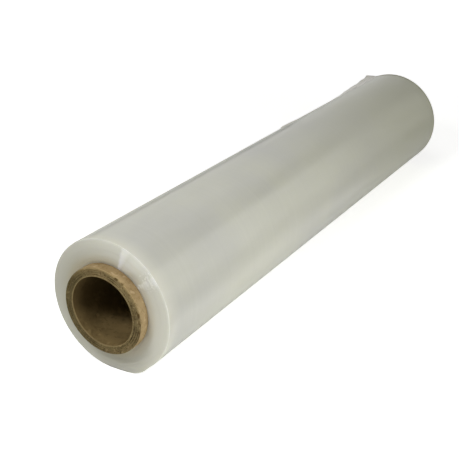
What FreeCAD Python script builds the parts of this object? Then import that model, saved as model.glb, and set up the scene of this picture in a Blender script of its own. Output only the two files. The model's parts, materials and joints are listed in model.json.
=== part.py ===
# Roll of clear stretch wrap on a cardboard core, lying on its side.
#
# The roll is two pieces. The core is a thick tube of spiral-wound paperboard, a
# little longer than the film is wide, so a short collar of it shows at each end.
# The film is wound on it without a gap, and its turns make one solid: groups of
# turns stand a little proud of each other at the ends, the rims are rounded, and
# the free tail of the last turn lifts off towards one corner.
#
# Frame, in millimetres: +X runs along the roll, away from the end that shows its
# core best, +Z is up, and the origin is at the middle of the flat spot on which
# the soft roll rests.

import FreeCAD, Part
import math
import os

# Wound film
film_width = 500.0
roll_diameter = 99.0
rim_radius = 0.5
flat_spot_width = 14.0

# Groups of turns that show as shallow rings on the film's two ends
turn_ring_count = 6
turn_ring_stagger = 0.45
turn_ring_ramp = 0.5
turn_ring_phase = 2.4

# Free tail of the last turn
tail_thickness = 0.5
tail_edge_angle = 54.0
tail_root_depth = 1.0

# How far the tail's edge stands off the roll at places along the film's width,
# counted from the end at -X. The second figure is in millimetres.
tail_lifts = (
    (0.00, 0.4),
    (0.58, 0.4),
    (0.61, 1.3),
    (0.65, 0.5),
    (0.84, 0.5),
    (0.88, 2.0),
    (0.93, 3.0),
    (1.00, 4.4),
)

# Cardboard core
core_bore_diameter = 51.5
core_wall = 6.3
core_overhang = 8.3
ply_count = 4
ply_groove_depth = 0.35
ply_groove_width = 0.5
inner_ply_step = 0.4
core_edge_break = 0.5

# Sizes that follow
roll_radius = roll_diameter / 2
core_inner_radius = core_bore_diameter / 2
core_outer_radius = core_inner_radius + core_wall
film_end = film_width / 2
core_end = film_end + core_overhang
axis_height = math.sqrt(roll_radius**2 - (flat_spot_width / 2) ** 2)
along_roll = FreeCAD.Vector(1, 0, 0)


def at(x, radius):
    """A point of a profile that is later turned about the roll's axis."""
    return FreeCAD.Vector(x, 0, radius)


def polyline(points):
    """Straight edges from each point to the next."""
    return [Part.makeLine(a, b) for a, b in zip(points, points[1:])]


def turned(edges):
    """The solid that a closed profile sweeps in a full turn about the X axis."""
    face = Part.Face(Part.Wire(edges))
    return face.revolve(FreeCAD.Vector(0, 0, 0), along_roll, 360)


def mirrored_in_x(points):
    """The same points at the other end of the roll, in reverse order."""
    return [FreeCAD.Vector(-p.x, p.y, p.z) for p in reversed(points)]


def turn_ring_inset(ring):
    """How far a group of turns sits in from the film's end, uneven from ring to ring."""
    return turn_ring_stagger * (1 + math.sin(turn_ring_phase * ring)) / 2


def turn_ring_points():
    """The film's end at +X from the core to the rim: flat rings with short ramps between."""
    rim_start = roll_radius - rim_radius
    ring_width = (rim_start - core_outer_radius) / turn_ring_count
    points = [at(film_end - turn_ring_inset(1), core_outer_radius)]
    for ring in range(1, turn_ring_count):
        meets_next = core_outer_radius + ring * ring_width
        points.append(at(film_end - turn_ring_inset(ring), meets_next - turn_ring_ramp / 2))
        points.append(at(film_end - turn_ring_inset(ring + 1), meets_next + turn_ring_ramp / 2))
    points.append(at(film_end - turn_ring_inset(turn_ring_count), rim_start - turn_ring_ramp))
    points.append(at(film_end, rim_start))
    return points


def rim_arc(outward):
    """The rounded rim from the film's end to its side, at the end at +X or -X."""
    centre = at(outward * (film_end - rim_radius), roll_radius - rim_radius)
    on_end = centre + FreeCAD.Vector(outward * rim_radius, 0, 0)
    on_side = centre + FreeCAD.Vector(0, 0, rim_radius)
    bend = rim_radius * math.sqrt(0.5)
    middle = centre + FreeCAD.Vector(outward * bend, 0, bend)
    return Part.Arc(on_end, middle, on_side).toShape()


def make_turns():
    """The wound film without its tail: a thick sleeve with ringed ends."""
    far_rings = turn_ring_points()
    near_rings = mirrored_in_x(far_rings)
    side_end = film_end - rim_radius
    edges = polyline(far_rings)
    edges.append(rim_arc(1))
    edges.append(Part.makeLine(at(side_end, roll_radius), at(-side_end, roll_radius)))
    edges.append(rim_arc(-1))
    edges += polyline(near_rings)
    edges.append(Part.makeLine(near_rings[-1], far_rings[0]))
    return turned(edges)


def tail_section(share, lift):
    """The tail's outline across the film at one place along its width.

    The film leaves the roll along a tangent, so a run of that length brings its
    edge to the stated height above the round of the roll.
    """
    x = (share - 0.5) * (film_width - 2 * rim_radius)
    run = math.sqrt((roll_radius + lift) ** 2 - roll_radius**2)
    leaves_at = math.radians(tail_edge_angle) + math.atan2(run, roll_radius)
    outward = FreeCAD.Vector(0, math.cos(leaves_at), math.sin(leaves_at))
    forward = FreeCAD.Vector(0, math.sin(leaves_at), -math.cos(leaves_at))
    leaves = FreeCAD.Vector(x, 0, 0) + outward * roll_radius
    edge = leaves + forward * run
    corners = [
        leaves,
        edge,
        edge - outward * tail_thickness,
        leaves - outward * (tail_thickness + tail_root_depth),
    ]
    return Part.makePolygon(corners + corners[:1])


def make_tail():
    """The free end of the last turn, from one end of the roll to the other."""
    sections = [tail_section(share, lift) for share, lift in tail_lifts]
    return Part.makeLoft(sections, True, True)


def above_floor(shape):
    """The shape, lifted onto its flat spot, with what would lie below it taken off."""
    shape.translate(FreeCAD.Vector(0, 0, axis_height))
    room = 2 * core_end + roll_diameter
    below = Part.makeBox(room, room, roll_diameter, FreeCAD.Vector(-room / 2, -room / 2, -roll_diameter))
    return shape.cut(below)


def make_film():
    """All turns of the film and its tail, as one solid on its flat spot."""
    return above_floor(make_turns().fuse(make_tail()).removeSplitter())


def core_face_points():
    """Profile of the core's end at +X, from its outside to its bore."""
    ply = core_wall / ply_count
    points = [
        at(core_end - core_edge_break, core_outer_radius),
        at(core_end, core_outer_radius - core_edge_break),
    ]
    for joint in range(1, ply_count):
        radius = core_outer_radius - joint * ply
        points.append(at(core_end, radius + ply_groove_width / 2))
        points.append(at(core_end - ply_groove_depth, radius))
        past = inner_ply_step if joint == ply_count - 1 else 0.0
        points.append(at(core_end + past, radius - ply_groove_width / 2))
    points.append(at(core_end + inner_ply_step, core_inner_radius))
    return points


def make_core():
    """The paperboard tube: plain inside and out, with its plies showing at each end."""
    far_face = core_face_points()
    near_face = mirrored_in_x(far_face)
    outline = far_face + near_face
    core = turned(polyline(outline + outline[:1]))
    core.translate(FreeCAD.Vector(0, 0, axis_height))
    return core


parts = {
    "wound_film": make_film(),
    "cardboard_core": make_core(),
}

os.makedirs("parts", exist_ok=True)
for name, shape in parts.items():
    solids = shape.Solids
    assert len(solids) == 1 and solids[0].isValid(), name
    solids[0].exportStep(f"parts/{name}.step")
    print(name, round(solids[0].Volume), "mm3", solids[0].BoundBox)
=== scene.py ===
import json
import math

import bpy
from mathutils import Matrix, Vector, noise


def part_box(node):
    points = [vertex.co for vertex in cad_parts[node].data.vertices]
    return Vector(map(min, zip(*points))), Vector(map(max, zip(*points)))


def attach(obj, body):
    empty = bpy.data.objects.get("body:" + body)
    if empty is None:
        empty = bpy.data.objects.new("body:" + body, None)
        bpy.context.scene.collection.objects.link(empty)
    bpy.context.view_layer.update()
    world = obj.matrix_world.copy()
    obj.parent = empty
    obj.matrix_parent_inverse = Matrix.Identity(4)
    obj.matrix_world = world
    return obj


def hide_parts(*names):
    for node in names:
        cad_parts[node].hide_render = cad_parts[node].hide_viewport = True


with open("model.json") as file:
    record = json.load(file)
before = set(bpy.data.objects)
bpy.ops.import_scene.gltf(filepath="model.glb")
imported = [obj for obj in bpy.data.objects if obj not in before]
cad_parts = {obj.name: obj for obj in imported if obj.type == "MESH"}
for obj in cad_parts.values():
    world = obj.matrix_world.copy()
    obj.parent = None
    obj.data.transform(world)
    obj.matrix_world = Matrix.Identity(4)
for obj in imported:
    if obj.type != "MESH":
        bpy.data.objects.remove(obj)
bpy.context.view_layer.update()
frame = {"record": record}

MM = 0.001

# Sizes of the roll, taken from the frame
film_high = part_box("wound_film")[1]
core_low, core_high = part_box("cardboard_core")
core_bore = next(m for m in frame["record"]["mounts"] if m["name"] == "core_bore")
axis_height = core_bore["pos_m"][2]
bore_radius = core_bore["dims"]["r_mm"] * MM
core_radius = (core_high.z - core_low.z) / 2
core_end = core_high.x
film_end = film_high.x
roll_radius = film_high.z - axis_height

# Sizes that the part's source also names
rim_radius = 0.5 * MM
ply_count = 4
ply_groove_depth = 0.35 * MM
ply_groove_width = 0.5 * MM
inner_ply_step = 0.4 * MM
worn_edge_radius = 0.4 * MM
tail_edge_angle = math.radians(54)

# How far the free tail stands off the roll at shares of the film's width
tail_lifts = (
    (0.00, 0.15 * MM),
    (0.30, 0.12 * MM),
    (0.588, 0.15 * MM),
    (0.592, 1.20 * MM),
    (0.62, 1.00 * MM),
    (0.66, 0.30 * MM),
    (0.80, 0.20 * MM),
    (0.84, 0.50 * MM),
    (0.88, 1.80 * MM),
    (0.93, 2.80 * MM),
    (0.98, 4.00 * MM),
    (1.00, 5.40 * MM),
)
tail_thickness = 0.12 * MM
tail_curl_angle = math.radians(17)
tail_root_depth = 0.35 * MM
tail_wrinkle_share = 0.22

# How far the spiral seam of the board runs along the tube in one turn
seam_pitch = 100 * MM

# How finely the turned pieces are divided round the axis
film_sides = 288
board_sides = 240

# Depth of the relief: rings on the ends, dips on the side, torn fibres on the cut board
ring_depth = 0.15 * MM
dip_depth = 0.25 * MM
tear_depth = 0.30 * MM

# Bearings round the roll are in degrees, from +Y towards +Z. A band gives the bearings at which
# it starts, is full, starts to fade and ends.

# The near end bulges out beside the flat spot
bulge_band = (-131, -117, -113, -96)
bulge_height = 1.5 * MM
bulge_length = 40 * MM

# Painted glints: white spots where the near end is crumpled, and a painted glint on the rim beside
# them
glint_spots_band = (126, 136, 142, 152)
rim_glint_band = (135, 139, 144, 149)

# Middle bearings of painted light (film's ends, top of the cut), chips, and painted shade (cut, bore)
end_painted_light_bearing = 150
cut_top_light_bearing = 110
chipped_bearing = 150
cut_side_shade_bearing = 0
bore_shade_bearing = 55

# Creases pressed into the near end, each painted white as a highlight: the bearing of the sharp side,
# how many degrees wide it is at the core and at the rim and how far it wobbles, then how broken it is
# and how white its painted highlight is
end_creases_with_highlights = (
    (104.0, 8.0, 13.0, 1.2, 0.0, 1.0),
    (136.5, 7.0, 14.0, 3.0, 0.6, 1.0),
    (106.0, 14.0, 50.0, 0.0, 0.0, 0.4),
)


# Camera and light

camera_place = Vector((-0.6542, -0.3438, 0.3453))
camera_target = Vector((0.0435, 0.0852, -0.0278))
camera_lens = 69.4

# Lamps: place, width, height, brightness, and whether they show in gloss
lamps = {
    "overhead": ((-0.66, 0.09, 0.62), 0.18, 0.18, 21.0, True),
    "key": ((-0.24, -0.66, 0.14), 0.20, 0.30, 9.8, True),
    "top": ((-0.15, -0.05, 0.65), 0.30, 0.30, 3.3, False),
    "spark": ((-0.41, -0.64, 0.50), 0.04, 0.04, 60.0, True),
}

# A card over the roll, by the bearings of its edges round the roll's axis, as radians. It fades
# from light to dark between two bearings.
streak_card_edges = (math.radians(82), math.radians(132))
streak_card_fade = (math.radians(84), math.radians(116))
streak_card_distance = 0.8
streak_card_ends = (-0.3, 1.2)

# Corners of the other cards
back_card_corners = ((-0.3, 0.8, 0.0), (1.3, 0.8, 0.0), (1.3, 0.8, 0.12), (-0.3, 0.8, 0.12))
far_card_corners = ((0.95, -0.35, 0.0), (0.95, -0.8, 0.0), (0.95, -0.8, 0.5), (0.95, -0.35, 0.5))
gleam_card_corners = ((-0.3, -0.13, MM), (0.16, -0.13, MM), (0.16, -0.07, MM), (-0.3, -0.07, MM))

# The floor's own white rises between two distances from the roll's middle. A gloss shows it
# dimmer, by the last share.
floor_fade = (0.25, 1.2)
floor_whiteness = (0.74, 0.98)
floor_in_gloss = 0.5

# Even light from all round
studio_light = (0.145, 0.145, 0.13, 1.0)

WHITE = (1.0, 1.0, 1.0, 1.0)
BLACK = (0.0, 0.0, 0.0, 1.0)


def screen_colour(red, green, blue):
    """A colour given as it looks on a screen, from 0 to 255, as linear values."""
    shares = [level / 255 for level in (red, green, blue)]
    linear = [s / 12.92 if s < 0.04045 else ((s + 0.055) / 1.055) ** 2.4 for s in shares]
    return (*linear, 1.0)


# Colours of the film: its side, with a painted glow by the ends and painted shade at the far end;
# its ends from core to rim, with a painted glow at the rim, painted light and painted highlights;
# and its free tail
film_colour = screen_colour(203, 203, 189)
cool_film_colour = screen_colour(195, 195, 187)
film_glow_by_ends = screen_colour(222, 220, 206)
film_far_shade_colour = screen_colour(190, 190, 166)
end_colour_at_core = screen_colour(194, 184, 151)
end_colour_midway = screen_colour(193, 191, 173)
end_glow_at_rim = screen_colour(207, 206, 194)
end_painted_light_colour = screen_colour(244, 244, 235)
crease_highlight_colour = screen_colour(255, 255, 246)
tail_colour = screen_colour(236, 231, 214)
cool_tail_colour = screen_colour(228, 223, 207)

# Colours of the board, each with its dark and its pale fleck: outside, where it is cut, and in the
# bore, where the paper is painted darker as shade
outer_paper = [screen_colour(170, 148, 110), screen_colour(122, 99, 65), screen_colour(198, 176, 138)]
cut_paper = [screen_colour(140, 123, 86), screen_colour(66, 55, 32), screen_colour(166, 145, 104)]
shaded_bore_paper = [screen_colour(134, 114, 76), screen_colour(76, 62, 36), screen_colour(156, 134, 92)]
joint_colour = screen_colour(54, 44, 24)
# Painted light on the top of the cut board's outer edge
cut_top_light_colour = screen_colour(196, 170, 122)
chipped_colour = screen_colour(88, 68, 40)
# Painted shade on one side of the cut board
cut_side_shade_colour = screen_colour(84, 76, 48)
inner_lip_colour = screen_colour(178, 156, 112)
# Painted shade on one side of the bore
bore_shade_colour = screen_colour(76, 62, 36)

card_colour = screen_colour(20, 20, 20)
floor_colour = screen_colour(240, 240, 238)


def add_to_scene(name, data):
    """A new object for the data, at the origin."""
    item = bpy.data.objects.new(name, data)
    bpy.context.scene.collection.objects.link(item)
    return item


def aim(item, target):
    """Turns a camera or lamp towards a point, level with the horizon."""
    item.rotation_euler = (target - item.location).to_track_quat("-Z", "Y").to_euler()


def make_camera():
    """The camera, level and aimed at the roll."""
    camera = add_to_scene("camera", bpy.data.cameras.new("camera"))
    camera.data.sensor_width = 36.0
    camera.data.lens = camera_lens
    camera.location = camera_place
    aim(camera, camera_target)
    bpy.context.scene.camera = camera


def make_softbox(name, place, target, width, height, brightness, in_gloss):
    """A rectangular lamp. Its brightness is the level that a mirror would show."""
    lamp = bpy.data.lights.new(name, "AREA")
    lamp.shape = "RECTANGLE"
    lamp.size = width
    lamp.size_y = height
    lamp.energy = brightness * math.pi * width * height
    softbox = add_to_scene(name, lamp)
    softbox.location = place
    aim(softbox, target)
    softbox.visible_camera = False
    softbox.visible_glossy = in_gloss


def make_lights():
    """All lamps, aimed at the middle of the roll's near end."""
    near_end = Vector((-film_end, 0.0, axis_height))
    for name, (place, width, height, brightness, in_gloss) in lamps.items():
        make_softbox(name, place, near_end, width, height, brightness, in_gloss)


# Nodes

SOCKET_KINDS = {
    float: "NodeSocketFloat",
    int: "NodeSocketInt",
    tuple: "NodeSocketColor",
}


def add_node(tree, kind, inputs=(), **settings):
    """A node with its settings, and its inputs given as numbers or other nodes' outputs."""
    node = tree.nodes.new(kind)
    for name, value in settings.items():
        setattr(node, name, value)
    for socket, value in dict(inputs).items():
        if isinstance(value, bpy.types.NodeSocket):
            tree.links.new(value, node.inputs[socket])
        else:
            node.inputs[socket].default_value = value
    return node


def calculate(tree, operation, *values):
    """The result of one sum on numbers or sockets."""
    return add_node(tree, "ShaderNodeMath", enumerate(values), operation=operation).outputs[0]


def remap(tree, value, start, end, low=0.0, high=1.0):
    """Takes start..end to low..high, eased at both ends."""
    inputs = {"Value": value, "From Min": start, "From Max": end, "To Min": low, "To Max": high}
    return add_node(tree, "ShaderNodeMapRange", inputs, interpolation_type="SMOOTHSTEP").outputs[0]


def in_band(tree, angle, band):
    """One in the full part of a band of bearings, eased to nothing at both its ends."""
    start, full, fade, end = [math.radians(bearing) for bearing in band]
    rise = remap(tree, angle, start, full)
    return calculate(tree, "MULTIPLY", rise, remap(tree, angle, fade, end, 1.0, 0.0))


def facing(tree, angle, bearing):
    """One at a bearing, and minus one opposite it."""
    return calculate(tree, "COSINE", calculate(tree, "SUBTRACT", angle, math.radians(bearing)))


def mix_colours(tree, share, first, second, blend="MIX"):
    """Colour between the first and the second, or the blend of both."""
    node = add_node(tree, "ShaderNodeMix", data_type="RGBA", blend_type=blend)
    for socket, value in ((0, share), (6, first), (7, second)):
        if isinstance(value, bpy.types.NodeSocket):
            tree.links.new(value, node.inputs[socket])
        else:
            node.inputs[socket].default_value = value
    return node.outputs[2]


def grain(tree, scale, detail=2.0, along=None, place=None, roughness=0.5):
    """Random level around a half, along one line or in space."""
    inputs = {"Scale": scale, "Detail": detail, "Roughness": roughness}
    inputs["W" if place is None else "Vector"] = along if place is None else place
    dimensions = "1D" if place is None else "3D"
    return add_node(tree, "ShaderNodeTexNoise", inputs, noise_dimensions=dimensions).outputs[0]


def new_group(name, kind, inputs, outputs):
    """An empty node group with named sockets. Returns its tree, its input and its output."""
    tree = bpy.data.node_groups.new(name, kind)
    for label, value in inputs.items():
        if isinstance(value, str):
            tree.interface.new_socket(label, in_out="INPUT", socket_type=value)
        else:
            socket_type = SOCKET_KINDS[type(value)]
            socket = tree.interface.new_socket(label, in_out="INPUT", socket_type=socket_type)
            socket.default_value = value
    for label, socket_type in outputs.items():
        tree.interface.new_socket(label, in_out="OUTPUT", socket_type=socket_type)
    given = tree.nodes.new("NodeGroupInput")
    result = tree.nodes.new("NodeGroupOutput")
    return tree, given, result


def answer(tree, result, **values):
    """Joins values to a group's outputs. An underscore stands for a space in a name."""
    for label, value in values.items():
        tree.links.new(value, result.inputs[label.replace("_", " ")])


# Node groups that the materials share

def make_roll_place():
    """Where a point lies on the roll: along it, out from its axis and round it."""
    tree, given, result = new_group(
        "roll_place", "ShaderNodeTree",
        {"Axis Height": axis_height},
        {"Along": "NodeSocketFloat", "Radius": "NodeSocketFloat", "Angle": "NodeSocketFloat"},
    )
    place = add_node(tree, "ShaderNodeTexCoord").outputs["Object"]
    split = add_node(tree, "ShaderNodeSeparateXYZ", {0: place})
    height = calculate(tree, "SUBTRACT", split.outputs["Z"], given.outputs["Axis Height"])
    across = split.outputs["Y"]
    across_squared = calculate(tree, "POWER", across, 2.0)
    height_squared = calculate(tree, "POWER", height, 2.0)
    radius = calculate(tree, "SQRT", calculate(tree, "ADD", across_squared, height_squared))
    angle = calculate(tree, "ARCTAN2", height, across)
    answer(tree, result, Along=split.outputs["X"], Radius=radius, Angle=angle)
    return tree


def make_film_haze():
    """Milky look of many turns of film: patches of trapped air and lines round the roll."""
    tree, given, result = new_group(
        "film_haze", "ShaderNodeTree",
        {
            "Film Colour": WHITE,
            "Cool Colour": WHITE,
            "Line Contrast": 0.04,
            "Patch Contrast": 0.06,
            "Roughness": 0.3,
        },
        {"Colour": "NodeSocketColor", "Roughness": "NodeSocketFloat", "Height": "NodeSocketFloat"},
    )
    place = add_node(tree, "ShaderNodeTexCoord").outputs["Object"]
    along = add_node(tree, "ShaderNodeSeparateXYZ", {0: place}).outputs["X"]
    stretched = add_node(
        tree, "ShaderNodeMapping", {"Vector": place, "Scale": (0.25, 1.0, 1.0)}
    ).outputs[0]
    wide_patches = grain(tree, 9.0, 2.0, place=place)
    patches = grain(tree, 45.0, 3.0, place=stretched)
    lines = grain(tree, 260.0, 4.0, along=along, roughness=0.65)
    tint = mix_colours(
        tree, remap(tree, wide_patches, 0.38, 0.62),
        given.outputs["Film Colour"], given.outputs["Cool Colour"],
    )
    line_level = calculate(
        tree, "MULTIPLY", calculate(tree, "SUBTRACT", lines, 0.5), given.outputs["Line Contrast"]
    )
    patch_level = calculate(
        tree, "MULTIPLY", calculate(tree, "SUBTRACT", patches, 0.5), given.outputs["Patch Contrast"]
    )
    level = calculate(tree, "ADD", 1.0, calculate(tree, "ADD", line_level, patch_level))
    grey_level = add_node(tree, "ShaderNodeCombineXYZ", {0: level, 1: level, 2: level}).outputs[0]
    colour = mix_colours(tree, 1.0, tint, grey_level, "MULTIPLY")
    rough = calculate(
        tree, "ADD", given.outputs["Roughness"],
        calculate(tree, "MULTIPLY", calculate(tree, "SUBTRACT", patches, 0.5), 0.25),
    )
    height = calculate(tree, "ADD", lines, calculate(tree, "MULTIPLY", patches, 3.0))
    answer(tree, result, Colour=colour, Roughness=rough, Height=height)
    return tree


def make_end_crease_highlight():
    """A crease pressed into an end of the roll, painted white as a highlight: from the core to the
    rim, sharp on one side.
    """
    tree, given, result = new_group(
        "end_crease_highlight", "ShaderNodeTree",
        {
            "Angle": 0.0,
            "Radius": 0.0,
            "Crease Angle": 0.0,
            "Core Width": 0.1,
            "Rim Width": 0.2,
            "Wobble": 0.0,
            "Breaks": 0.0,
        },
        {"Share": "NodeSocketFloat"},
    )
    radius = given.outputs["Radius"]
    wobble = calculate(
        tree, "MULTIPLY", calculate(tree, "SUBTRACT", grain(tree, 420.0, 2.0, along=radius), 0.5),
        given.outputs["Wobble"],
    )
    edge = calculate(tree, "ADD", given.outputs["Crease Angle"], wobble)
    from_edge = calculate(tree, "SUBTRACT", given.outputs["Angle"], edge)
    width = add_node(
        tree, "ShaderNodeMapRange",
        {
            "Value": radius, "From Min": core_radius, "From Max": roll_radius,
            "To Min": given.outputs["Core Width"], "To Max": given.outputs["Rim Width"],
        },
    ).outputs[0]
    across = calculate(tree, "DIVIDE", from_edge, width)
    inside = calculate(
        tree, "MULTIPLY", remap(tree, across, 0.0, 0.3), remap(tree, across, 0.35, 1.1, 1.0, 0.0)
    )
    whole = remap(tree, grain(tree, 520.0, 1.0, along=radius), 0.40, 0.58)
    broken = add_node(
        tree, "ShaderNodeMix", {0: given.outputs["Breaks"], 2: 1.0, 3: whole}, data_type="FLOAT"
    ).outputs[0]
    answer(tree, result, Share=calculate(tree, "MULTIPLY", inside, broken))
    return tree


def make_paper_fibre():
    """Brown board made of pressed fibres, with pale and dark flecks."""
    tree, given, result = new_group(
        "paper_fibre", "ShaderNodeTree",
        {
            "Paper Colour": WHITE,
            "Dark Fleck": WHITE,
            "Pale Fleck": WHITE,
            "Fibre Size": 1.0,
            "Fleck Share": 0.5,
        },
        {"Colour": "NodeSocketColor", "Roughness": "NodeSocketFloat", "Height": "NodeSocketFloat"},
    )
    place = add_node(tree, "ShaderNodeTexCoord").outputs["Object"]
    scale = calculate(tree, "DIVIDE", 1.0, given.outputs["Fibre Size"])
    sized = add_node(
        tree, "ShaderNodeVectorMath", {0: place, "Scale": scale}, operation="SCALE"
    ).outputs[0]
    clouds = grain(tree, 90.0, 3.0, place=sized)
    fibres = grain(tree, 700.0, 4.0, place=sized, roughness=0.7)
    flecks = grain(tree, 420.0, 1.0, place=sized)
    base = mix_colours(
        tree, calculate(tree, "MULTIPLY", remap(tree, clouds, 0.45, 0.7), 0.5),
        given.outputs["Paper Colour"], given.outputs["Dark Fleck"],
    )
    fleck_share = given.outputs["Fleck Share"]
    dark_share = calculate(tree, "MULTIPLY", remap(tree, fibres, 0.50, 0.68), fleck_share)
    dark = mix_colours(tree, dark_share, base, given.outputs["Dark Fleck"])
    pale_share = calculate(tree, "MULTIPLY", remap(tree, flecks, 0.60, 0.74), fleck_share)
    colour = mix_colours(tree, pale_share, dark, given.outputs["Pale Fleck"])
    rough = remap(tree, fibres, 0.3, 0.7, 0.75, 0.95)
    height = calculate(tree, "ADD", fibres, flecks)
    answer(tree, result, Colour=colour, Roughness=rough, Height=height)
    return tree


# Materials

def new_material(name):
    """A material with only its shader joined up. Returns it with its tree and shader."""
    material = bpy.data.materials.new(name)
    material.use_nodes = True
    tree = material.node_tree
    tree.nodes.clear()
    shader = tree.nodes.new("ShaderNodeBsdfPrincipled")
    output = tree.nodes.new("ShaderNodeOutputMaterial")
    tree.links.new(shader.outputs[0], output.inputs["Surface"])
    return material, tree, shader


def use_group(tree, group, **inputs):
    """Places a shared group with its own values. An underscore stands for a space."""
    node = add_node(tree, "ShaderNodeGroup", node_tree=group)
    for label, value in inputs.items():
        socket = node.inputs[label.replace("_", " ")]
        if isinstance(value, bpy.types.NodeSocket):
            tree.links.new(value, socket)
        else:
            socket.default_value = value
    return node


def set_shader(shader, **values):
    """Plain values of the shader. An underscore stands for a space in a name."""
    for label, value in values.items():
        shader.inputs[label.replace("_", " ")].default_value = value


def add_bump(tree, shader, height, depth):
    """Joins fine relief to the shader. The depth is what a height of one stands for."""
    bump = add_node(tree, "ShaderNodeBump", {"Height": height, "Distance": depth, "Strength": 1.0})
    tree.links.new(bump.outputs[0], shader.inputs["Normal"])


def crease_highlight_share(tree, where, end_crease_highlight):
    """How creased the near end is, for relief and painted highlights: folds from core to rim, and
    painted glints in spots where it is crumpled and on the rim.
    """
    angle = where.outputs["Angle"]
    radius = where.outputs["Radius"]
    place = add_node(tree, "ShaderNodeTexCoord").outputs["Object"]
    # Painted glints: white spots and a white stretch of rim
    spots = calculate(
        tree, "MULTIPLY", remap(tree, grain(tree, 620.0, 1.0, place=place), 0.52, 0.62),
        calculate(
            tree, "MULTIPLY", in_band(tree, angle, glint_spots_band),
            remap(tree, radius, core_radius + 4 * MM, roll_radius - 8 * MM),
        ),
    )
    rim_glint = calculate(
        tree, "MULTIPLY", remap(tree, radius, roll_radius - 4 * MM, roll_radius - 1 * MM),
        in_band(tree, angle, rim_glint_band),
    )
    share = calculate(tree, "MAXIMUM", spots, rim_glint)
    for crease_angle, core_width, rim_width, wobble, breaks, whiteness in end_creases_with_highlights:
        crease = use_group(
            tree, end_crease_highlight, Angle=angle, Radius=radius,
            Crease_Angle=math.radians(crease_angle), Core_Width=math.radians(core_width),
            Rim_Width=math.radians(rim_width), Wobble=math.radians(wobble), Breaks=breaks,
        )
        share = calculate(
            tree, "MAXIMUM", share, calculate(tree, "MULTIPLY", crease.outputs["Share"], whiteness)
        )
    at_near_end = calculate(tree, "LESS_THAN", where.outputs["Along"], 0.0)
    return calculate(tree, "MULTIPLY", share, at_near_end)


def film_end_colour(tree, where):
    """Colour of the film's ends: browner near the core, with a painted glow paler to the rim, and
    painted light on one side.
    """
    radius = where.outputs["Radius"]
    near_core = mix_colours(
        tree, remap(tree, radius, core_radius - 2 * MM, core_radius + 10 * MM),
        end_colour_at_core, end_colour_midway,
    )
    # Painted glow: the end paler towards the rim
    glowing_outer_turns = mix_colours(
        tree, remap(tree, radius, roll_radius - 14 * MM, roll_radius), near_core, end_glow_at_rim
    )
    # Painted light: the end paler on the side at its bearing, less near the core
    end_lamp_side = facing(tree, where.outputs["Angle"], end_painted_light_bearing)
    end_painted_light = remap(tree, end_lamp_side, -0.6, 0.9, 0.0, 0.62)
    off_core = remap(tree, radius, core_radius, core_radius + 8 * MM, 0.7, 1.0)
    return mix_colours(
        tree, calculate(tree, "MULTIPLY", end_painted_light, off_core), glowing_outer_turns, end_painted_light_colour
    )


def make_film_material(roll_place, film_haze, end_crease_highlight):
    """Clear film wound thick: milky, with painted shade darker and yellower to the far end, a painted
    glow by both ends, and paler creased ends with painted highlights.
    """
    material, tree, shader = new_material("clear_film")
    where = use_group(tree, roll_place, Axis_Height=axis_height)
    haze = use_group(
        tree, film_haze, Film_Colour=film_colour, Cool_Colour=cool_film_colour,
        Line_Contrast=0.06, Patch_Contrast=0.14, Roughness=0.42,
    )
    radius = where.outputs["Radius"]
    from_middle = calculate(tree, "ABSOLUTE", where.outputs["Along"])
    on_end = remap(tree, from_middle, film_end - rim_radius, film_end - 0.1 * MM)
    on_side = calculate(tree, "SUBTRACT", 1.0, on_end)
    # Painted glow: the side paler towards both ends
    glow_by_an_end = remap(tree, from_middle, film_end - 16 * MM, film_end, 0.0, 0.5)
    at_rim = calculate(
        tree, "MINIMUM", remap(tree, radius, roll_radius - 3 * MM, roll_radius - 0.4 * MM),
        remap(tree, from_middle, film_end - 9 * MM, film_end),
    )
    creases_and_highlights = crease_highlight_share(tree, where, end_crease_highlight)
    # Painted highlights: the creases and glints in white
    end_colour = mix_colours(tree, creases_and_highlights, film_end_colour(tree, where), crease_highlight_colour)
    side_colour = mix_colours(tree, glow_by_an_end, haze.outputs["Colour"], film_glow_by_ends)
    # Painted shade: the side darker and yellower towards the far end
    far_shaded = mix_colours(
        tree, remap(tree, where.outputs["Along"], -0.3 * film_end, film_end),
        side_colour, film_far_shade_colour,
    )
    colour = mix_colours(tree, on_end, far_shaded, end_colour)
    rough = calculate(tree, "ADD", haze.outputs["Roughness"], calculate(tree, "MULTIPLY", at_rim, 0.3))
    coat = calculate(tree, "MULTIPLY", calculate(tree, "SUBTRACT", 1.0, at_rim), 0.6)
    rings = grain(tree, 1600.0, 3.0, along=radius)
    end_height = calculate(tree, "ADD", rings, calculate(tree, "MULTIPLY", creases_and_highlights, 3.0))
    side_height = calculate(tree, "MULTIPLY", haze.outputs["Height"], 0.25)
    height = calculate(
        tree, "ADD", calculate(tree, "MULTIPLY", end_height, on_end),
        calculate(tree, "MULTIPLY", side_height, on_side),
    )
    tree.links.new(colour, shader.inputs["Base Color"])
    tree.links.new(rough, shader.inputs["Roughness"])
    tree.links.new(coat, shader.inputs["Coat Weight"])
    add_bump(tree, shader, height, 0.12 * MM)
    set_shader(
        shader, IOR=1.5, Specular_IOR_Level=0.3, Coat_Roughness=0.14,
        Subsurface_Weight=0.7, Subsurface_Radius=(1.0, 1.0, 0.85), Subsurface_Scale=7 * MM,
        Anisotropic=0.9, Anisotropic_Rotation=0.25,
    )
    round_the_roll = add_node(tree, "ShaderNodeTangent", direction_type="RADIAL", axis="X")
    tree.links.new(round_the_roll.outputs[0], shader.inputs["Tangent"])
    return material


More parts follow.
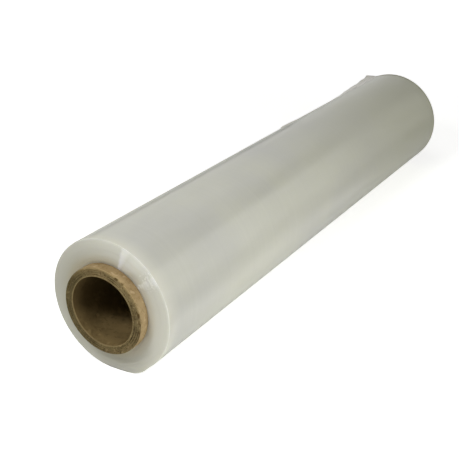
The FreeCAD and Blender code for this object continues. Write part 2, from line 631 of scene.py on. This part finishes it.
def make_tail_material(film_haze):
    """The free tail: a single thickness of film, a little see-through."""
    material, tree, shader = new_material("film_tail")
    haze = use_group(
        tree, film_haze, Film_Colour=tail_colour, Cool_Colour=cool_tail_colour,
        Line_Contrast=0.05, Patch_Contrast=0.10, Roughness=0.3,
    )
    tree.links.new(haze.outputs["Colour"], shader.inputs["Base Color"])
    tree.links.new(haze.outputs["Roughness"], shader.inputs["Roughness"])
    add_bump(tree, shader, haze.outputs["Height"], 0.1 * MM)
    set_shader(shader, IOR=1.5, Alpha=0.85, Coat_Weight=0.2, Coat_Roughness=0.15)
    return material


def cut_board_colour(tree, where, fibre_colour):
    """Colour of the cut board: dark joints, painted light on the top of its outer edge, a chipped
    edge, painted shade on one side, and a paler inner lip.
    """
    radius = where.outputs["Radius"]
    angle = where.outputs["Angle"]
    ply = (core_radius - bore_radius) / ply_count
    across_plies = calculate(tree, "DIVIDE", calculate(tree, "SUBTRACT", radius, bore_radius), ply)
    joint = remap(tree, calculate(tree, "PINGPONG", across_plies, 0.5), 0.05, 0.32, 1.0, 0.0)
    place = add_node(tree, "ShaderNodeTexCoord").outputs["Object"]
    open_joint = remap(tree, grain(tree, 70.0, 3.0, place=place), 0.42, 0.62)
    jointed = mix_colours(
        tree, calculate(tree, "MULTIPLY", joint, open_joint), fibre_colour, joint_colour
    )
    # Painted light: the outer edge of the cut paler at the top
    lit_top_side = remap(tree, facing(tree, angle, cut_top_light_bearing), 0.1, 1.0)
    outer_edge = remap(tree, radius, core_radius - 3 * MM, core_radius, 0.1, 0.7)
    top_lit = mix_colours(
        tree, calculate(tree, "MULTIPLY", lit_top_side, outer_edge), jointed, cut_top_light_colour
    )
    chips = calculate(
        tree, "MULTIPLY", remap(tree, grain(tree, 240.0, 1.0, place=place), 0.54, 0.62),
        calculate(
            tree, "MULTIPLY", remap(tree, facing(tree, angle, chipped_bearing), 0.3, 0.8, 0.0, 0.85),
            remap(tree, radius, core_radius - 2.6 * MM, core_radius - 1.0 * MM),
        ),
    )
    chipped = mix_colours(tree, chips, top_lit, chipped_colour)
    # Painted shade: the cut darker on one side
    side_shaded = mix_colours(
        tree, remap(tree, facing(tree, angle, cut_side_shade_bearing), 0.0, 1.0, 0.0, 0.5),
        chipped, cut_side_shade_colour,
    )
    inner_lip = remap(tree, radius, bore_radius + 0.2 * MM, bore_radius + 0.6 * MM, 0.6, 0.0)
    return mix_colours(tree, inner_lip, side_shaded, inner_lip_colour)


def make_board_material(roll_place, paper_fibre):
    """Spiral-wound board: smooth outside, rough where it is cut, and painted darker in the bore as
    shade.
    """
    material, tree, shader = new_material("core_board")
    where = use_group(tree, roll_place, Axis_Height=axis_height)
    outside, cut, bore = [
        use_group(
            tree, paper_fibre, Paper_Colour=colour, Dark_Fleck=dark_fleck, Pale_Fleck=pale_fleck,
            Fibre_Size=fibre_size, Fleck_Share=fleck_share,
        )
        for (colour, dark_fleck, pale_fleck), fibre_size, fleck_share in (
            (outer_paper, 1.8, 0.5), (cut_paper, 0.9, 0.95), (shaded_bore_paper, 2.2, 0.4),
        )
    ]
    from_middle = calculate(tree, "ABSOLUTE", where.outputs["Along"])
    cut_end = core_end - inner_ply_step
    on_cut = remap(tree, from_middle, cut_end - 0.9 * MM, cut_end - 0.2 * MM)
    in_bore = remap(
        tree, where.outputs["Radius"], bore_radius + 0.1 * MM, bore_radius + 0.5 * MM, 1.0, 0.0
    )
    # Painted shade: the bore darker on one side
    bore_shade_side = facing(tree, where.outputs["Angle"], bore_shade_bearing)
    shaded_bore_colour = mix_colours(
        tree, remap(tree, bore_shade_side, -0.4, 0.5, 0.0, 0.7), bore.outputs["Colour"], bore_shade_colour
    )
    paper_colour = mix_colours(tree, in_bore, outside.outputs["Colour"], shaded_bore_colour)
    cut_colour = cut_board_colour(tree, where, cut.outputs["Colour"])
    colour = mix_colours(tree, on_cut, paper_colour, cut_colour)
    turns = calculate(tree, "DIVIDE", where.outputs["Angle"], 2 * math.pi)
    lead = calculate(tree, "DIVIDE", where.outputs["Along"], seam_pitch)
    seam_place = calculate(tree, "PINGPONG", calculate(tree, "SUBTRACT", lead, turns), 0.5)
    seam = remap(tree, seam_place, 0.0, 0.006, 1.0, 0.0)
    paper_height = calculate(
        tree, "SUBTRACT", calculate(tree, "MULTIPLY", outside.outputs["Height"], 0.4), seam
    )
    height = add_node(
        tree, "ShaderNodeMix",
        {0: on_cut, 2: paper_height, 3: calculate(tree, "MULTIPLY", cut.outputs["Height"], 1.5)},
        data_type="FLOAT",
    ).outputs[0]
    tree.links.new(colour, shader.inputs["Base Color"])
    tree.links.new(outside.outputs["Roughness"], shader.inputs["Roughness"])
    add_bump(tree, shader, height, 0.25 * MM)
    set_shader(shader, IOR=1.45, Specular_IOR_Level=0.06)
    return material


# Pieces made by turning a profile about the roll's axis

def make_turned_tree(name, sizes, relief):
    """A geometry tree that turns a profile about the roll's axis and adds relief to it."""
    inputs = {
        "Profile": "NodeSocketGeometry",
        "Sides": 256,
        "Axis Height": axis_height,
        "Material": "NodeSocketMaterial",
        **sizes,
    }
    tree, given, result = new_group(name, "GeometryNodeTree", inputs, {"Piece": "NodeSocketGeometry"})
    profile = given.outputs["Profile"]
    rows = add_node(tree, "GeometryNodeAttributeDomainSize", {0: profile}).outputs["Point Count"]
    columns = calculate(tree, "ADD", given.outputs["Sides"], 1.0)
    grid = add_node(tree, "GeometryNodeMeshGrid", {"Vertices X": rows, "Vertices Y": columns})
    index = tree.nodes.new("GeometryNodeInputIndex").outputs[0]
    index_middle = calculate(tree, "ADD", index, 0.5)
    row = calculate(tree, "FLOOR", calculate(tree, "DIVIDE", index_middle, columns))
    column = calculate(tree, "SUBTRACT", index, calculate(tree, "MULTIPLY", row, columns))
    position = tree.nodes.new("GeometryNodeInputPosition").outputs[0]
    profile_place = add_node(
        tree, "GeometryNodeSampleIndex", {"Geometry": profile, "Value": position, "Index": row},
        data_type="FLOAT_VECTOR",
    ).outputs[0]
    split = add_node(tree, "ShaderNodeSeparateXYZ", {0: profile_place})
    share = calculate(tree, "DIVIDE", column, given.outputs["Sides"])
    angle = calculate(tree, "MULTIPLY", share, 2 * math.pi)
    cosine = calculate(tree, "COSINE", angle)
    sine = calculate(tree, "SINE", angle)
    plain = add_node(
        tree, "ShaderNodeCombineXYZ",
        {
            0: split.outputs["X"],
            1: calculate(tree, "MULTIPLY", split.outputs["Y"], cosine),
            2: calculate(tree, "MULTIPLY", split.outputs["Y"], sine),
        },
    ).outputs[0]
    along, radius = relief(tree, given, split.outputs["X"], split.outputs["Y"], plain)
    height = calculate(
        tree, "ADD", calculate(tree, "MULTIPLY", radius, sine), given.outputs["Axis Height"]
    )
    place = add_node(
        tree, "ShaderNodeCombineXYZ",
        {
            0: along,
            1: calculate(tree, "MULTIPLY", radius, cosine),
            2: calculate(tree, "MAXIMUM", height, 0.0),
        },
    ).outputs[0]
    shaped = add_node(
        tree, "GeometryNodeSetPosition", {"Geometry": grid.outputs["Mesh"], "Position": place}
    )
    closed = add_node(
        tree, "GeometryNodeMergeByDistance", {"Geometry": shaped.outputs[0], "Distance": 0.001 * MM}
    )
    smooth = add_node(tree, "GeometryNodeSetShadeSmooth", {"Geometry": closed.outputs[0]})
    painted = add_node(
        tree, "GeometryNodeSetMaterial",
        {"Geometry": smooth.outputs[0], "Material": given.outputs["Material"]},
    )
    real = add_node(tree, "GeometryNodeRealizeInstances", {"Geometry": painted.outputs[0]})
    tree.links.new(real.outputs[0], result.inputs["Piece"])
    return tree


def film_relief(tree, given, along, radius, plain):
    """Rings on the ends, shallow dips on the side, and the near end's bulge."""
    from_middle = calculate(tree, "ABSOLUTE", along)
    half_rim = calculate(tree, "MULTIPLY", given.outputs["Rim Radius"], 0.5)
    end_start = calculate(tree, "SUBTRACT", given.outputs["Film End"], half_rim)
    on_end = remap(tree, from_middle, end_start, given.outputs["Film End"])
    rings = calculate(
        tree, "ADD",
        calculate(tree, "MULTIPLY", remap(tree, grain(tree, 330.0, 1.0, along=radius), 0.3, 0.7), 0.7),
        calculate(tree, "MULTIPLY", grain(tree, 1300.0, 2.0, along=radius), 0.3),
    )
    off_rim = remap(tree, radius, roll_radius - 5 * MM, roll_radius - 1 * MM, 1.0, 0.1)
    ring_share = calculate(tree, "MULTIPLY", calculate(tree, "MULTIPLY", rings, on_end), off_rim)
    inset = calculate(tree, "MULTIPLY", ring_share, given.outputs["Ring Depth"])
    moved = calculate(
        tree, "SUBTRACT", along, calculate(tree, "MULTIPLY", calculate(tree, "SIGN", along), inset)
    )
    side_start = calculate(tree, "SUBTRACT", given.outputs["Roll Radius"], given.outputs["Rim Radius"])
    on_side = remap(tree, radius, side_start, given.outputs["Roll Radius"])
    dips = calculate(
        tree, "ADD", calculate(tree, "MULTIPLY", grain(tree, 14.0, 2.0, place=plain), 0.7),
        calculate(tree, "MULTIPLY", grain(tree, 110.0, 2.0, along=along), 0.3),
    )
    off_ends = remap(tree, from_middle, film_end - 20 * MM, film_end, 1.0, 0.2)
    dip_share = calculate(tree, "MULTIPLY", calculate(tree, "MULTIPLY", dips, on_side), off_ends)
    dip = calculate(tree, "MULTIPLY", dip_share, given.outputs["Dip Depth"])
    split = add_node(tree, "ShaderNodeSeparateXYZ", {0: plain})
    angle = calculate(tree, "ARCTAN2", split.outputs["Z"], split.outputs["Y"])
    bulging = calculate(
        tree, "MULTIPLY", in_band(tree, angle, bulge_band),
        calculate(
            tree, "MULTIPLY", remap(tree, radius, core_radius, roll_radius),
            remap(tree, along, -film_end, bulge_length - film_end, 1.0, 0.0),
        ),
    )
    bulge = calculate(tree, "MULTIPLY", bulging, given.outputs["Bulge Height"])
    return moved, calculate(tree, "ADD", calculate(tree, "SUBTRACT", radius, dip), bulge)


def board_relief(tree, given, along, radius, plain):
    """Torn fibres that set the cut ends in unevenly."""
    from_middle = calculate(tree, "ABSOLUTE", along)
    cut_start = calculate(tree, "SUBTRACT", given.outputs["Core End"], 2 * MM)
    on_cut = remap(tree, from_middle, cut_start, given.outputs["Core End"])
    torn = calculate(
        tree, "ADD", calculate(tree, "MULTIPLY", grain(tree, 160.0, 2.0, place=plain), 0.5),
        calculate(tree, "MULTIPLY", grain(tree, 650.0, 2.0, place=plain), 0.5),
    )
    tear_share = calculate(tree, "MULTIPLY", torn, on_cut)
    inset = calculate(tree, "MULTIPLY", tear_share, given.outputs["Tear Depth"])
    moved = calculate(
        tree, "SUBTRACT", along, calculate(tree, "MULTIPLY", calculate(tree, "SIGN", along), inset)
    )
    return moved, radius


def steps(start, end, count):
    """Evenly spaced values from start to end, both included."""
    return [start + (end - start) * i / count for i in range(count + 1)]


def film_profile():
    """Half-section of the wound film as (along, radius), closed along the core."""
    face_steps, rim_steps, side_steps = 58, 7, 110
    face = [(film_end, r) for r in steps(core_radius, roll_radius - rim_radius, face_steps)]
    turn = steps(0, math.pi / 2, rim_steps)[1:]
    rim = [
        (film_end - rim_radius * (1 - math.cos(a)), roll_radius - rim_radius * (1 - math.sin(a)))
        for a in turn
    ]
    half = face + rim
    side_end = film_end - rim_radius
    side = [(x, roll_radius) for x in steps(side_end, -side_end, side_steps)[1:-1]]
    return half + side + [(-x, r) for x, r in reversed(half)] + half[:1]


def core_profile():
    """Half-section of the board tube as (along, radius), closed along the bore."""
    edge_steps, bore_steps, cut_step = 8, 40, 0.3 * MM
    cut_end = core_end - inner_ply_step
    ply = (core_radius - bore_radius) / ply_count
    worn_edge = [
        (
            cut_end - worn_edge_radius * (1 - math.sin(a)),
            core_radius - worn_edge_radius * (1 - math.cos(a)),
        )
        for a in steps(0, math.pi / 2, edge_steps)
    ]
    corners = [(film_end, core_radius)] + worn_edge
    for joint in range(1, ply_count):
        radius = core_radius - joint * ply
        past = inner_ply_step if joint == ply_count - 1 else 0.0
        corners.append((cut_end, radius + ply_groove_width / 2))
        corners.append((cut_end - ply_groove_depth, radius))
        corners.append((cut_end + past, radius - ply_groove_width / 2))
    corners.append((core_end, bore_radius))
    half = [corners[0]]
    for (x0, r0), (x1, r1) in zip(corners, corners[1:]):
        pieces = max(1, round(math.hypot(x1 - x0, r1 - r0) / cut_step))
        half += [(x0 + (x1 - x0) * t, r0 + (r1 - r0) * t) for t in steps(0, 1, pieces)[1:]]
    bore = [(x, bore_radius) for x in steps(core_end, -core_end, bore_steps)[1:-1]]
    return half + bore + [(-x, r) for x, r in reversed(half)] + half[:1]


def turn_piece(name, profile, tree, material, sides, sizes):
    """Runs a geometry tree on a profile and keeps the result as a plain mesh."""
    chain = bpy.data.meshes.new(name + "_profile")
    links = [(i, i + 1) for i in range(len(profile) - 1)]
    chain.from_pydata([(x, r, 0.0) for x, r in profile], links, [])
    piece = add_to_scene(name, chain)
    shaping = piece.modifiers.new("turning", "NODES")
    shaping.node_group = tree
    values = {"Sides": sides, "Axis Height": axis_height, "Material": material, **sizes}
    for item in tree.interface.items_tree:
        if item.in_out == "INPUT" and item.name in values:
            shaping[item.identifier] = values[item.name]
    finished = piece.evaluated_get(bpy.context.evaluated_depsgraph_get())
    mesh = bpy.data.meshes.new_from_object(finished)
    piece.modifiers.remove(shaping)
    piece.data = mesh
    return piece


# The free tail

def lift_at(share):
    """How far the tail's edge stands off the roll at a share of the film's width."""
    for (s0, lift0), (s1, lift1) in zip(tail_lifts, tail_lifts[1:]):
        if share <= s1:
            t = (share - s0) / (s1 - s0)
            eased = t * t * (3 - 2 * t)
            return lift0 + (lift1 - lift0) * eased
    return tail_lifts[-1][1]


def tail_point(share, reach, layer):
    """A point of the tail: across the film, from root to free edge, inner or outer face."""
    lift = lift_at(share)
    bearing = tail_edge_angle + tail_curl_angle * (1 - reach)
    along = (share - 0.5) * 2 * (film_end - rim_radius)
    waviness = noise.noise(Vector((share * 42, reach * 2.2, 3.1)))
    wrinkle = waviness * lift * tail_wrinkle_share * reach
    sunk = (1 - layer) * tail_thickness + (1 - reach) * tail_root_depth
    height = roll_radius + lift * reach**2 + wrinkle - sunk
    return (along, height * math.cos(bearing), height * math.sin(bearing) + axis_height)


def make_tail(material):
    """The last turn's free end, closed all round, rooted just under the roll's surface."""
    columns, rows = 320, 14
    points = [
        tail_point(i / columns, j / rows, layer)
        for layer in (0, 1) for i in range(columns + 1) for j in range(rows + 1)
    ]
    wide = rows + 1
    inner = 0
    outer = (columns + 1) * wide
    faces = []
    for i in range(columns):
        for j in range(rows):
            a = i * wide + j
            faces.append((outer + a, outer + a + wide, outer + a + wide + 1, outer + a + 1))
            faces.append((inner + a, inner + a + 1, inner + a + wide + 1, inner + a + wide))
    for i in range(columns):
        for j, order in ((0, 1), (rows, -1)):
            a = i * wide + j
            faces.append((inner + a, inner + a + wide, outer + a + wide, outer + a)[::order])
    for j in range(rows):
        for i, order in ((0, -1), (columns, 1)):
            a = i * wide + j
            faces.append((inner + a, inner + a + 1, outer + a + 1, outer + a)[::order])
    mesh = bpy.data.meshes.new("film_tail")
    mesh.from_pydata(points, [], faces)
    mesh.shade_smooth()
    mesh.materials.append(material)
    return add_to_scene("film_tail", mesh)


# Floor and world

def background_seen(tree, in_gloss):
    """One where the background is seen directly or through something clear, less in a gloss."""
    path = add_node(tree, "ShaderNodeLightPath")
    glossy = calculate(tree, "MULTIPLY", path.outputs["Is Glossy Ray"], in_gloss)
    direct = calculate(
        tree, "MAXIMUM", path.outputs["Is Camera Ray"], path.outputs["Is Transmission Ray"]
    )
    return calculate(tree, "MAXIMUM", direct, glossy)


def plain_material(name, **values):
    """A material that is the same all over."""
    material, _, shader = new_material(name)
    set_shader(shader, **values)
    return material


def make_fading_card_material(roll_place):
    """A dark card that a gloss shows light along one edge, fading with its bearing."""
    material, tree, shader = new_material("fading_card")
    set_shader(shader, Base_Color=card_colour, Roughness=0.9, Emission_Strength=1.0)
    where = use_group(tree, roll_place, Axis_Height=axis_height)
    in_gloss = add_node(tree, "ShaderNodeLightPath").outputs["Is Glossy Ray"]
    faded = remap(tree, where.outputs["Angle"], *streak_card_fade, 1.0, 0.0)
    glow = mix_colours(tree, calculate(tree, "MULTIPLY", in_gloss, faded), BLACK, WHITE)
    tree.links.new(glow, shader.inputs["Emission Color"])
    return material


def make_card(name, corners, material):
    """A card out of the camera's sight, for the film to reflect."""
    mesh = bpy.data.meshes.new(name)
    mesh.from_pydata(corners, [], [(0, 1, 2, 3)])
    mesh.materials.append(material)
    card = add_to_scene(name, mesh)
    card.visible_camera = False
    return card


def make_cards(roll_place):
    """Cards for the dark streak along the film, its dim edge, its far end and its low gleam."""
    start, end = streak_card_ends
    low, high = [
        (streak_card_distance * math.cos(a), streak_card_distance * math.sin(a) + axis_height)
        for a in streak_card_edges
    ]
    streak_card_corners = ((start, *low), (end, *low), (end, *high), (start, *high))
    dark = plain_material("dark_card", Base_Color=card_colour, Roughness=0.9)
    pale = plain_material(
        "pale_card", Base_Color=WHITE, Roughness=0.9, Emission_Color=WHITE, Emission_Strength=0.55
    )
    make_card("streak_card", streak_card_corners, make_fading_card_material(roll_place))
    make_card("back_card", back_card_corners, dark)
    for name, corners in (("far_card", far_card_corners), ("gleam_card", gleam_card_corners)):
        card = make_card(name, corners, pale)
        card.visible_diffuse = False
        card.visible_shadow = False


def make_floor():
    """A white floor that shows the roll's shadow and runs out to plain white."""
    reach = 8.0
    mesh = bpy.data.meshes.new("floor")
    corners = [(-reach, -reach, 0), (reach, -reach, 0), (reach, reach, 0), (-reach, reach, 0)]
    mesh.from_pydata(corners, [], [(0, 1, 2, 3)])
    floor = add_to_scene("floor", mesh)
    material, tree, shader = new_material("white_floor")
    set_shader(shader, Base_Color=floor_colour, Roughness=0.8)
    place = add_node(tree, "ShaderNodeTexCoord").outputs["Object"]
    distance = add_node(tree, "ShaderNodeVectorMath", {0: place}, operation="LENGTH").outputs["Value"]
    whiteness = remap(tree, distance, *floor_fade, *floor_whiteness)
    strength = calculate(tree, "MULTIPLY", background_seen(tree, floor_in_gloss), whiteness)
    glow = add_node(tree, "ShaderNodeEmission", {"Color": WHITE, "Strength": strength})
    mixed = add_node(tree, "ShaderNodeAddShader", {0: shader.outputs[0], 1: glow.outputs[0]})
    output = next(n for n in tree.nodes if n.type == "OUTPUT_MATERIAL")
    tree.links.new(mixed.outputs[0], output.inputs["Surface"])
    mesh.materials.append(material)


def make_world():
    """Plain grey studio air that lights softly, and looks white to the camera."""
    world = bpy.data.worlds.new("studio")
    bpy.context.scene.world = world
    world.use_nodes = True
    tree = world.node_tree
    tree.nodes.clear()
    colour = mix_colours(tree, background_seen(tree, 1.0), studio_light, WHITE)
    sky = add_node(tree, "ShaderNodeBackground", {"Color": colour, "Strength": 1.0})
    output = tree.nodes.new("ShaderNodeOutputWorld")
    tree.links.new(sky.outputs[0], output.inputs["Surface"])


bpy.context.scene.view_settings.view_transform = "Standard"
make_camera()
make_world()
make_lights()
make_floor()
roll_place = make_roll_place()
make_cards(roll_place)
film_haze = make_film_haze()
paper_fibre = make_paper_fibre()
end_crease_highlight = make_end_crease_highlight()
clear_film = make_film_material(roll_place, film_haze, end_crease_highlight)
tail_film = make_tail_material(film_haze)
core_board = make_board_material(roll_place, paper_fibre)

film_sizes = {
    "Film End": film_end,
    "Roll Radius": roll_radius,
    "Rim Radius": rim_radius,
    "Ring Depth": ring_depth,
    "Dip Depth": dip_depth,
    "Bulge Height": bulge_height,
}
board_sizes = {"Core End": core_end, "Tear Depth": tear_depth}
film_tree = make_turned_tree("wound_film_shape", film_sizes, film_relief)
board_tree = make_turned_tree("board_tube_shape", board_sizes, board_relief)

film_turns = turn_piece(
    "film_turns", film_profile(), film_tree, clear_film, film_sides, film_sizes
)
board_tube = turn_piece(
    "board_tube", core_profile(), board_tree, core_board, board_sides, board_sizes
)
film_tail = make_tail(tail_film)

for piece, node, slot in (
    (film_turns, "wound_film", "clear_film"),
    (film_tail, "wound_film", "clear_film"),
    (board_tube, "cardboard_core", "core_board"),
):
    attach(piece, "root")
    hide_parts(node)
